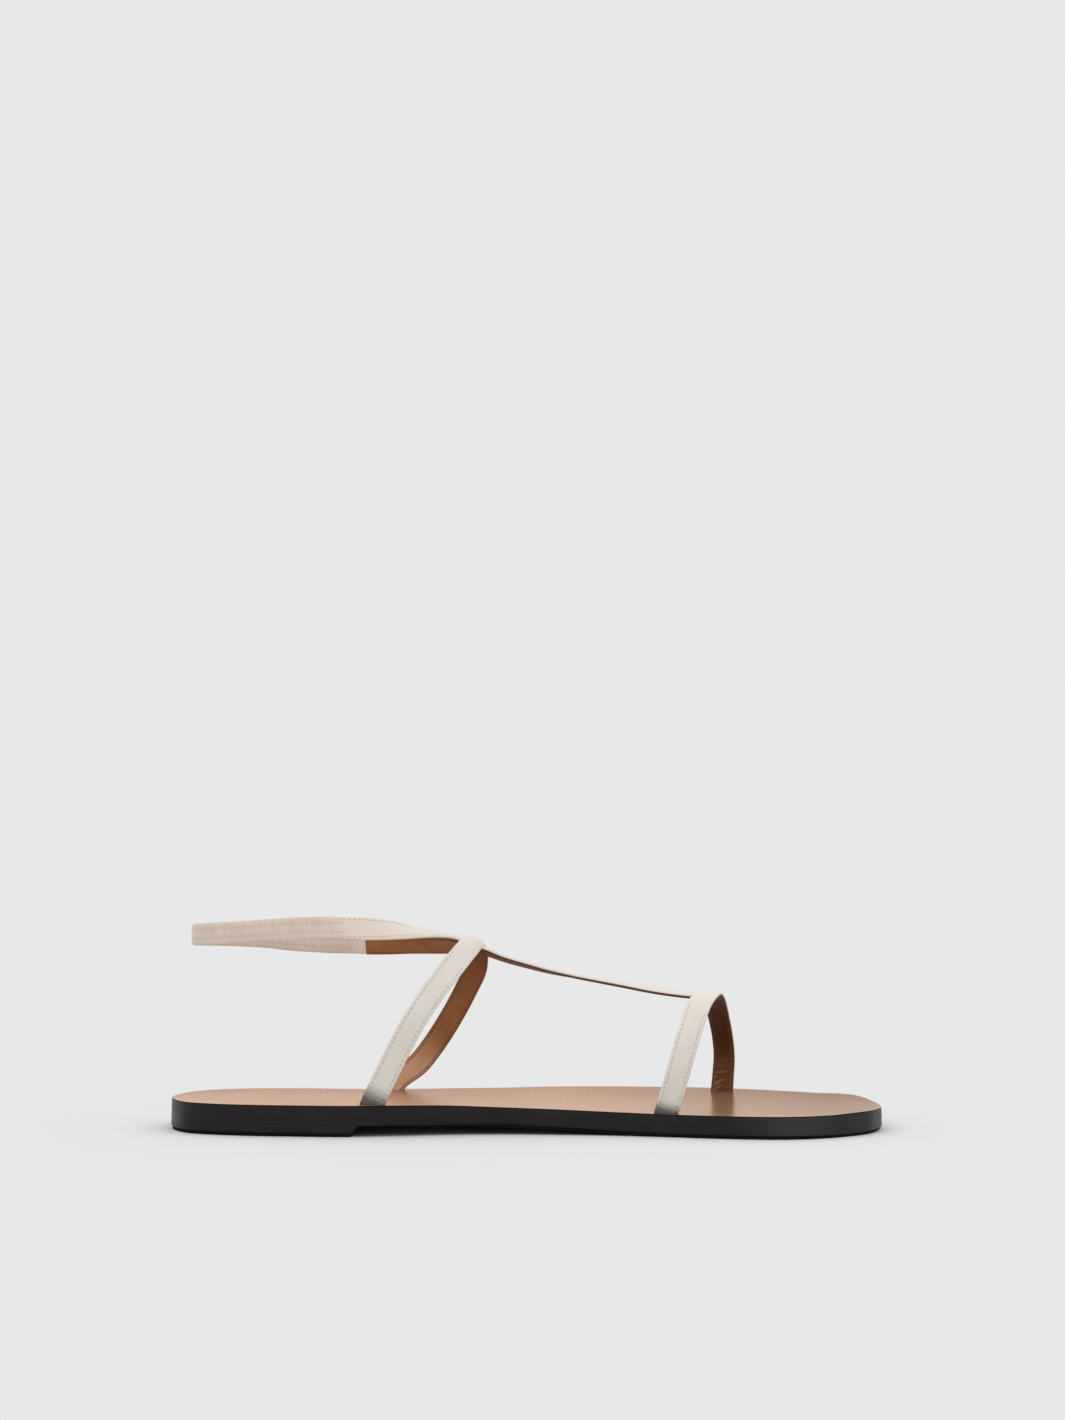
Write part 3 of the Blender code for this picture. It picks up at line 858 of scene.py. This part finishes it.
def footbed():
    """Thin tan skin over the sole.

    The mark inset is a point's distance from the rim, and side runs from the outer rim, 0, to the inner, 1.
    """
    loops, inset, side = [], [], []
    rim_insets = [place for place, depth in BED_RIM]
    rim_width = rim_insets[-1]
    for s in stations(SOLE_START, SOLE_STOP, 300):
        sides = []
        for column in (1, 2):
            high = rim_top(column, s)
            sides.append([rim_point(column, s, -place, high - depth) for place, depth in BED_RIM])
        inner, outer = sides
        under = across_row(inner[0], outer[0], s, BED_UNDER)
        over = across_row(outer[-1], inner[-1], s, BED_OVER)
        loops.append(inner[:1] + under + outer + over + inner[:0:-1])
        width = (outer[-1] - inner[-1]).length / MM
        slant = [abs(edge_point(column, s)[1].y) for column in (2, 1)]
        inset += [0.0] * (1 + len(under)) + rim_insets
        side += [0.0] * (1 + len(under) + len(BED_RIM))
        for step in range(1, BED_OVER):
            share = step / BED_OVER
            inset.append(rim_width + width * min(share * slant[0], (1.0 - share) * slant[1]))
            side.append(share)
        inset += rim_insets[:0:-1]
        side += [1.0] * (len(BED_RIM) - 1)
    return lofted("footbed", loops, [TAN], sharp=50.0, marks={"inset": inset, "side": side})


# Straps

# Marks painted on the straps: painted shade at their feet and on the lining, yellower lining, painted light
# on the lining, warmer cream
PAINTS = ("soil", "tone", "gold", "worn", "blush")

# Distance between sections, closest on the finely folded toe strap and the ruched sling
STRAP_STEP = 0.8
TOE_STEP = 0.25
SLING_STEP = 0.17


def sway(path, run, w):
    """Slight unevenness of a strap, out of its face."""
    return SWAY * noise.noise(Vector((run * 0.11, w * 0.05, path.end)))


def ridge_lit(form, t):
    """How much painted highlight a point of the lining gets on the ridge of a pressed fold."""
    return min(max(-3.0 * form - 0.15, 0.0), 0.8) if t < LINING_FACE else 0.0


def strap(name, path, start, end, step, shape=None, raised=0, **paint):
    """Lined strap: a cream outer turned over its edges on a thinner brown lining."""
    count = max(2, round((end - start) / step))
    loops = []
    marks = {label: [] for label in ("along", "across", "ridge_light") + PAINTS}
    for k in range(count + 1):
        run = start + (end - start) * k / count
        spot, way, look, wide = path.at(run)
        shades = {label: paint[label](run) if label in paint else 0.0 for label in PAINTS}
        loop = []
        for w, t in STRAP_RING:
            form = shape(run, w, t) if shape else 0.0
            loop.append(spot + wide * (w * MM) + look * ((t + sway(path, run, w) + form) * MM))
            marks["ridge_light"].append(ridge_lit(form, t))
            marks["along"].append(run)
            marks["across"].append(w + (LINING_MARK if t < 0.0 else 0.0))
            for label, value in shades.items():
                marks[label].append(value)
        loops.append(loop)
    return lofted(name, loops, [CREAM, BROWN], lined_faces(raised), 42.0, marks)


def soiling(path, reach):
    """Painted shade at the feet of a strap, fading out at a height over the footbed."""
    def soil(run):
        spot = path.at(run)[0]
        over = spot.z / MM - rim_top(1, spot.x / MM + MID_LENGTH)
        return 1.0 - smooth(-0.4, reach, over)
    return soil


def capsule(length, wide, tall):
    """Short bowed thread: points in (along, across, out) millimetres, and its faces."""
    points = []
    sides = 6
    rings = ((-0.5, 0.35), (-0.4, 0.85), (0.0, 1.0), (0.4, 0.85), (0.5, 0.35))
    for place, girth in rings:
        rise = tall * 0.5 * (1.0 - 4.0 * place * place)
        for k in range(sides):
            turn = 2.0 * math.pi * (k + 0.5) / sides
            across, out = wide * girth * math.cos(turn), tall * girth * math.sin(turn)
            points.append((place * length, across, rise + out))
    return points, ring_faces(0, len(rings), sides)


def pit(length, wide):
    """Small flat oval where the needle went through."""
    sides = 8
    turns = [2.0 * math.pi * k / sides for k in range(sides)]
    points = [(0.5 * length * math.cos(turn), wide * math.sin(turn), 0.0) for turn in turns]
    return points + [(0.0, 0.0, 0.02)], [(k, (k + 1) % sides, sides) for k in range(sides)]


class Trim:
    """Threads and needle holes on the faces of a strap, gathered into one mesh."""

    def __init__(self, mats):
        self.mats = mats
        self.verts, self.faces, self.kinds = [], [], []

    def add(self, path, run, w, t, face, mat, points, tiles):
        """Lays a small shape on the outer face, 1, or the inner face, -1."""
        spot, way, look, wide = path.at(run)
        base = len(self.verts)
        for a, b, c in points:
            out = t + face * (c + PROUD)
            self.verts.append(spot + way * (a * MM) + wide * ((w + b) * MM) + look * (out * MM))
        self.faces += [tuple(base + v for v in tile) for tile in tiles]
        self.kinds += [self.mats.index(mat)] * len(tiles)

    def done(self, name):
        return mesh_object(name, self.verts, self.faces, self.mats, self.kinds, 60.0)


def stitches(name, path, rows, pitch, shape=None):
    """Rows of thread with needle holes between, and only dark holes at the feet of the outer face, which are
    in painted shade.

    A row is its start, end, place across, height, and whether it is on the lining.
    """
    trim = Trim([PALE_THREAD, PALE_HOLE, BROWN_THREAD, BROWN_HOLE, SHADED_FOOT_HOLE])
    for row, (start, end, w, t, lined) in enumerate(rows):
        yarn, hole = (BROWN_THREAD, BROWN_HOLE) if lined else (PALE_THREAD, PALE_HOLE)
        face = -1.0 if lined else 1.0
        count = int((end - start) / pitch)
        tall = LINING_THREAD if lined else OUTER_THREAD
        for k in range(count):
            middle = start + (k + 0.5) * pitch + 0.06 * noise.noise(Vector((k * 1.7, row * 5.3, 0.4)))
            drift = 0.05 * noise.noise(Vector((k * 0.45, row * 3.1, 2.7)))
            for mat, (points, tiles), shift in (
                (yarn, capsule(THREAD_SHARE * pitch, THREAD_HALF, tall), 0.0),
                (hole, pit(HOLE_SHARE * pitch, HOLE_HALF), 0.5 * pitch),
            ):
                run = min(middle + shift, path.end)
                # The feet of the outer face are in painted shade: only dark holes there, no pale thread
                soiled = not lined and min(run, path.end - run) < SHADED_FOOT_STITCHES
                if soiled and mat == yarn:
                    continue
                lift = sway(path, run, w)
                if shape:
                    lift += shape(run, w, t)
                trim.add(path, run, w + drift, t + lift, face, SHADED_FOOT_HOLE if soiled else mat, points, tiles)
    return trim.done(name)


def stitch_rows(outer, lining):
    """Stitch rows on the outer face (start, end, place across) and along both edges of the lining."""
    return ([(*row, OUTER_STITCH, False) for row in outer]
            + [(*lining, w, LINING_STITCH, True) for w in (STITCH_ROW, -STITCH_ROW)])


def foot_rows(path, top, foot, rear, front):
    """Outer stitch rows on both halves of a strap over the foot, as gaps from its feet and its top."""
    return ((foot, top - rear, -STITCH_ROW), (foot, top - front, STITCH_ROW),
            (top + rear, path.end - foot, -STITCH_ROW), (top + front, path.end - foot, STITCH_ROW))


def wrinkle(run, w, t):
    """Folds pressed into the lining at the outer foot of the toe strap."""
    back = toe_path.end - run
    if back > 20.0 or t > LINING_FACE:
        return 0.0
    lift = 0.0
    for place, middle, half, lean, wide, height in WRINKLES:
        turn = math.radians(lean)
        a, b = w - middle, back - place
        length = a * math.cos(turn) + b * math.sin(turn)
        depth = b * math.cos(turn) - a * math.sin(turn)
        lift -= height * math.exp(-(length / half) ** 4) * math.exp(-(depth / wide) ** 2)
    return lift * smooth(4.0, 3.2, abs(w))


def crown(run, w, t):
    """Instep strap bulging over the straps that are joined under its top."""
    share = w / STRAP_HALF
    near_top = 1.0 - smooth(3.0, 12.0, abs(run - instep_top))
    bulge = 1.4 * (1.0 - share * share) * (1.0 + 0.35 * share) * near_top
    return bulge * smooth(-0.6, 0.2, t)


def bar_form(run, w, t):
    """T-bar rising to the instep strap at its root, its lining lower on the edges over the rear half."""
    root = 0.6 * (1.0 - smooth(6.0, 14.0, run)) * smooth(-0.2, 0.4, t)
    border = 0.30 * (1.0 - smooth(26.0, 58.0, run)) * smooth(-0.17, 0.19, t) * smooth(0.44, 0.19, t)
    return root - border


def pucker(run, row, face):
    """Phase of the gathers beside a stitched row: whole numbers are the needle holes."""
    return run / RUCHE_PITCH + 0.37 * row + 0.5 * face + 0.16 * noise.noise(Vector((run * 0.3, row, face)))


def sling_half(run, start, end):
    """How near a place is to an end of the sling, from 0 to 1, and half the sling's width there."""
    near_end = 1.0 - smooth(0.0, SLING_EASE, min(run - start, end - run))
    return near_end, SLING_HALF + (SLING_END_HALF - SLING_HALF) * near_end


def sling_form(run, share, face, start, end):
    """Place across and out of a point of the sling's section, its depth in a pucker, and how ruched it is."""
    near_end, half = sling_half(run, start, end)
    end_face = SLING_END_OUTER if face > 0.0 else SLING_END_INNER
    thick = SLING_FACE + (end_face - SLING_FACE) * near_end
    set_in = smooth(start + 4.0, start + 15.0, run) * smooth(end - 2.0, end - 10.0, run)
    w = half * share
    deep = 0.0
    for row in RUCHE_ROWS:
        beat = 0.5 + 0.5 * math.cos(2.0 * math.pi * pucker(run, row, face))
        deep = max(deep, beat ** 2 * math.exp(-((w - row) / 0.85) ** 2))
    deep *= set_in * (0.75 + 0.5 * noise.noise(Vector((run * 0.6, w * 0.3, 5.0 + face))))
    wave = 0.05 * set_in * noise.noise(Vector((run * 0.75, w * 0.22, 9.0 + face)))
    t = thick * (1.0 - abs(share) ** (3.4 + 4.0 * near_end)) ** (1.0 / 2.6)
    relief = (wave - RUCHE_DEPTH * deep) * smooth(0.0, 0.35, 1.0 - abs(share))
    return w, face * (t + relief), deep, set_in


def heel_sling(path, start, end):
    """Ruched cover of the elastic, round its oval section."""
    spread = [math.radians(-90.0 + 6.0 * k) for k in range(31)]
    around = [(math.sin(a), 1.0) for a in spread[::-1]] + [(math.sin(a), -1.0) for a in spread[1:-1]]
    loops = []
    marks = {label: [] for label in ("fold", "fade", "along", "across")}
    count = round((end - start) / SLING_STEP)
    for k in range(count + 1):
        run = start + (end - start) * k / count
        spot, way, look, wide = path.at(run)
        loop = []
        for share, face in around:
            w, t, deep, set_in = sling_form(run, share, face, start, end)
            loop.append(spot + wide * (w * MM) + look * (t * MM))
            for label, value in (("fold", 1.0 - deep), ("fade", 1.0 - set_in), ("along", run),
                                 ("across", w + LINING_MARK * face)):
                marks[label].append(value)
        loops.append(loop)
    return lofted("heel_sling_cover", loops, [RUCHED], None, 60.0, marks)


def sling_stitches(path, start, end):
    """Gathered needle holes along the puckers, and the seams' holes at the leather ends of the sling."""
    trim = Trim([PALE_HOLE, SLING_HOLE])
    first, last = start + RUCHE_GAPS[0], end - RUCHE_GAPS[1]

    def put(run, w, face, mat, points, tiles):
        half = sling_half(run, start, end)[1]
        t = sling_form(run, w / half, face, start, end)[1]
        trim.add(path, run, w, t, face, mat, points, tiles)

    for face in (1.0, -1.0):
        for row in RUCHE_ROWS:
            whole = math.ceil(pucker(first, row, face))
            run = first
            while run < last:
                if pucker(run, row, face) >= whole:
                    whole += 1
                    stray = Vector((run * 1.3, row, face))
                    place = row + 0.22 * noise.noise(stray)
                    wide = 0.46 + 0.30 * noise.noise(stray + Vector((0.0, 0.0, 7.0)))
                    put(run, place, face, SLING_HOLE, *pit(0.28, wide))
                run += RUCHE_SEARCH
    for k in range(SEAM_HOLES):
        gap = 1.5 + 1.8 * k
        for run in (start + gap, end - gap):
            for w in (STITCH_ROW, -STITCH_ROW):
                put(run, w, 1.0, PALE_HOLE, *pit(0.6, 0.18))
    return trim.done("heel_sling_stitches")


toe_path = foot_path(TOE_STRAP)
instep_path = foot_path(INSTEP_STRAP)
bar_path = foot_path(T_BAR)
ankle_path = loop_path(ANKLE_LOOP)
sling_start = ankle_path.runs[SLING_INNER_ROW * PER_SPAN]
sling_end = ankle_path.runs[SLING_OUTER_ROW * PER_SPAN]
toe_top = toe_path.runs[TOE_TOP_ROW * PER_SPAN]
instep_top = instep_path.runs[INSTEP_TOP_ROW * PER_SPAN]


def toe_tone(run):
    """Lining darker over the outer half of the toe strap, most of all half way down: painted shade."""
    share = run / toe_path.end
    depth = 0.66 + 0.30 * smooth(0.58, 0.72, share) - 0.04 * smooth(0.82, 0.94, share)
    return smooth(0.40, 0.55, share) * depth


def toe_gold(run):
    """Lining yellower at the outer foot of the toe strap."""
    return 0.20 * smooth(0.80, 0.94, run / toe_path.end)


def instep_tone(run):
    """Lining a little darker under the top of the instep strap: painted shade."""
    return 0.42 * (1.0 - smooth(8.0, 38.0, abs(run - instep_top)))


def instep_worn(run):
    """Painted light, pale, on the lining where the outer half of the instep strap runs down to the footbed.
    """
    return smooth(32.0, 12.0, instep_path.end - run)


def bar_tone(run):
    """Lining of the T-bar, dark all along: painted shade."""
    return 0.75


def ankle_blush(run):
    """Cream of the inner ankle strap, warmer towards the sling."""
    return 0.25 + 0.75 * smooth(0.2, 1.0, run / sling_start)


def outer_blush(run):
    """Cream of the outer ankle strap, warmer towards the sling."""
    return 0.25 + 0.75 * smooth(0.2, 1.0, (ankle_path.end - run) / (ankle_path.end - sling_end))


def slot_cutter():
    """Slots for the feet of the straps, as one mesh."""
    verts, faces = [], []
    half, face = STRAP_HALF + SLOT_GAP, STRAP_FACE + SLOT_GAP
    flat_half, flat_face = half - SLOT_CHAMFER, face - SLOT_CHAMFER
    section = ((flat_half, face), (half, flat_face), (half, -flat_face), (flat_half, -face),
               (-flat_half, -face), (-half, -flat_face), (-half, flat_face), (-flat_half, face))
    for path in (toe_path, toe_path.backwards(), instep_path, instep_path.backwards()):
        first = len(verts)
        for run in SLOT_RUNS:
            spot, way, look, wide = path.at(max(run, 0.0))
            spot = spot + way * (min(run, 0.0) * MM)
            for w, t in section:
                verts.append(spot + wide * (w * MM) + look * (t * MM))
        faces += ring_faces(first, len(SLOT_RUNS), len(section))
    return mesh_object("slots", verts, faces, [])


# Build

def sets(piece, slot, *nodes):
    """Ties a piece to the part's one body and hides the solids that it stands for; the slot argument is not
    used.
    """
    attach(piece, "root")
    if nodes:
        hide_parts(*nodes)
    return piece


cutter = slot_cutter()
body = sole_body()
bed = footbed()
cut(body, cutter)
cut(bed, cutter)
bpy.data.objects.remove(cutter, do_unlink=True)
sets(body, "sole_black", "outsole")
sets(heel_piece(), "lift_black", "heel_lift")
sets(bed, "insole_tan", "insole")

for piece in (
    strap("toe_strap", toe_path, 0.0, toe_path.end, TOE_STEP, wrinkle,
          tone=toe_tone, gold=toe_gold, soil=soiling(toe_path, TOE_SHADE_REACH)),
    strap("instep_strap", instep_path, 0.0, instep_path.end, STRAP_STEP, crown,
          tone=instep_tone, worn=instep_worn, soil=soiling(instep_path, INSTEP_SHADE_REACH)),
    strap("t_bar", bar_path, 0.0, bar_path.end, STRAP_STEP, bar_form, raised=2, tone=bar_tone),
    strap("ankle_inner", ankle_path, 0.0, sling_start, STRAP_STEP, blush=ankle_blush),
    strap("ankle_outer", ankle_path, sling_end, ankle_path.end, STRAP_STEP, blush=outer_blush),
):
    sets(piece, "strap_cream", "upper")
sling_ends = (sling_start - SLING_LAP, sling_end + SLING_LAP)
sets(heel_sling(ankle_path, *sling_ends), "sling_beige", "heel_sling")

# Stitch rows, each ending a little short of the strap's ends and joints
toe_rows = stitch_rows(foot_rows(toe_path, toe_top, *TOE_ROWS), (2.0, toe_path.end - 2.0))
instep_rows = stitch_rows(foot_rows(instep_path, instep_top, *INSTEP_ROWS), (2.0, instep_path.end - 2.0))
bar_rows = stitch_rows((), (7.0, bar_path.end - 5.0))
seam_start = ankle_path.runs[ANKLE_SEAM_ROW * PER_SPAN]
inner_runs = [(seam_start, sling_start - 0.4, w) for w in (STITCH_ROW, -STITCH_ROW)]
inner_rows = stitch_rows(inner_runs, (9.0, sling_start - 0.4))
outer_runs = [(sling_end + 0.4, ankle_path.end - 12.0, w) for w in (STITCH_ROW, -STITCH_ROW)]
outer_rows = stitch_rows(outer_runs, (sling_end + 0.4, ankle_path.end - 4.0))
for name, path, rows, pitch, shape in (
    ("toe_stitches", toe_path, toe_rows, 1.75, wrinkle),
    ("instep_stitches", instep_path, instep_rows, 1.9, crown),
    ("bar_stitches", bar_path, bar_rows, 1.9, None),
    ("ankle_inner_stitches", ankle_path, inner_rows, 1.8, None),
    ("ankle_outer_stitches", ankle_path, outer_rows, 1.8, None),
):
    sets(stitches(name, path, rows, pitch, shape), "strap_cream")
sets(sling_stitches(ankle_path, *sling_ends), "sling_beige")


# Stage, light, camera

def stage():
    """Wide pale floor."""
    verts = [(x * FLOOR_HALF, y * FLOOR_HALF, 0.0) for x, y in ((-1, -1), (1, -1), (1, 1), (-1, 1))]
    f = Finish("floor_pale", 1.0, 0.0)
    f.shader.inputs["Base Color"].default_value = (FLOOR_ALBEDO, FLOOR_ALBEDO, FLOOR_ALBEDO, 1.0)
    floor = mesh_object("floor", verts, [(0, 1, 2, 3)], [f.mat], closed=False)


def studio():
    """Soft white room, brighter overhead, just bright enough that the floor matches the horizon."""
    overhead = HORIZON + (HORIZON / FLOOR_ALBEDO - HORIZON) / OVERHEAD_SHARE
    world = bpy.data.worlds.new("studio")
    world.use_nodes = True
    tree = world.node_tree
    coords = tree.nodes.new("ShaderNodeTexCoord")
    split = tree.nodes.new("ShaderNodeSeparateXYZ")
    level = tree.nodes.new("ShaderNodeMapRange")
    level.interpolation_type = "SMOOTHSTEP"
    for socket, value in zip(level.inputs[1:5], (0.2, 1.0, HORIZON, overhead)):
        socket.default_value = value
    back = tree.nodes["Background"]
    back.inputs["Color"].default_value = (1.0, 1.0, 1.0, 1.0)
    tree.links.new(coords.outputs["Generated"], split.inputs[0])
    tree.links.new(split.outputs["Z"], level.inputs[0])
    tree.links.new(level.outputs[0], back.inputs["Strength"])
    bpy.context.scene.world = world


def camera():
    """The photograph's view."""
    cam = bpy.data.cameras.new("camera")
    cam.lens = CAMERA_LENS
    cam.sensor_width = CAMERA_SENSOR
    cam.clip_end = CAMERA_REACH
    obj = bpy.data.objects.new("camera", cam)
    obj.location = CAMERA_SPOT
    obj.rotation_euler = (math.radians(90.0), 0.0, 0.0)
    bpy.context.scene.collection.objects.link(obj)
    bpy.context.scene.camera = obj


stage()
studio()
camera()
bpy.context.scene.view_settings.view_transform = "Standard"
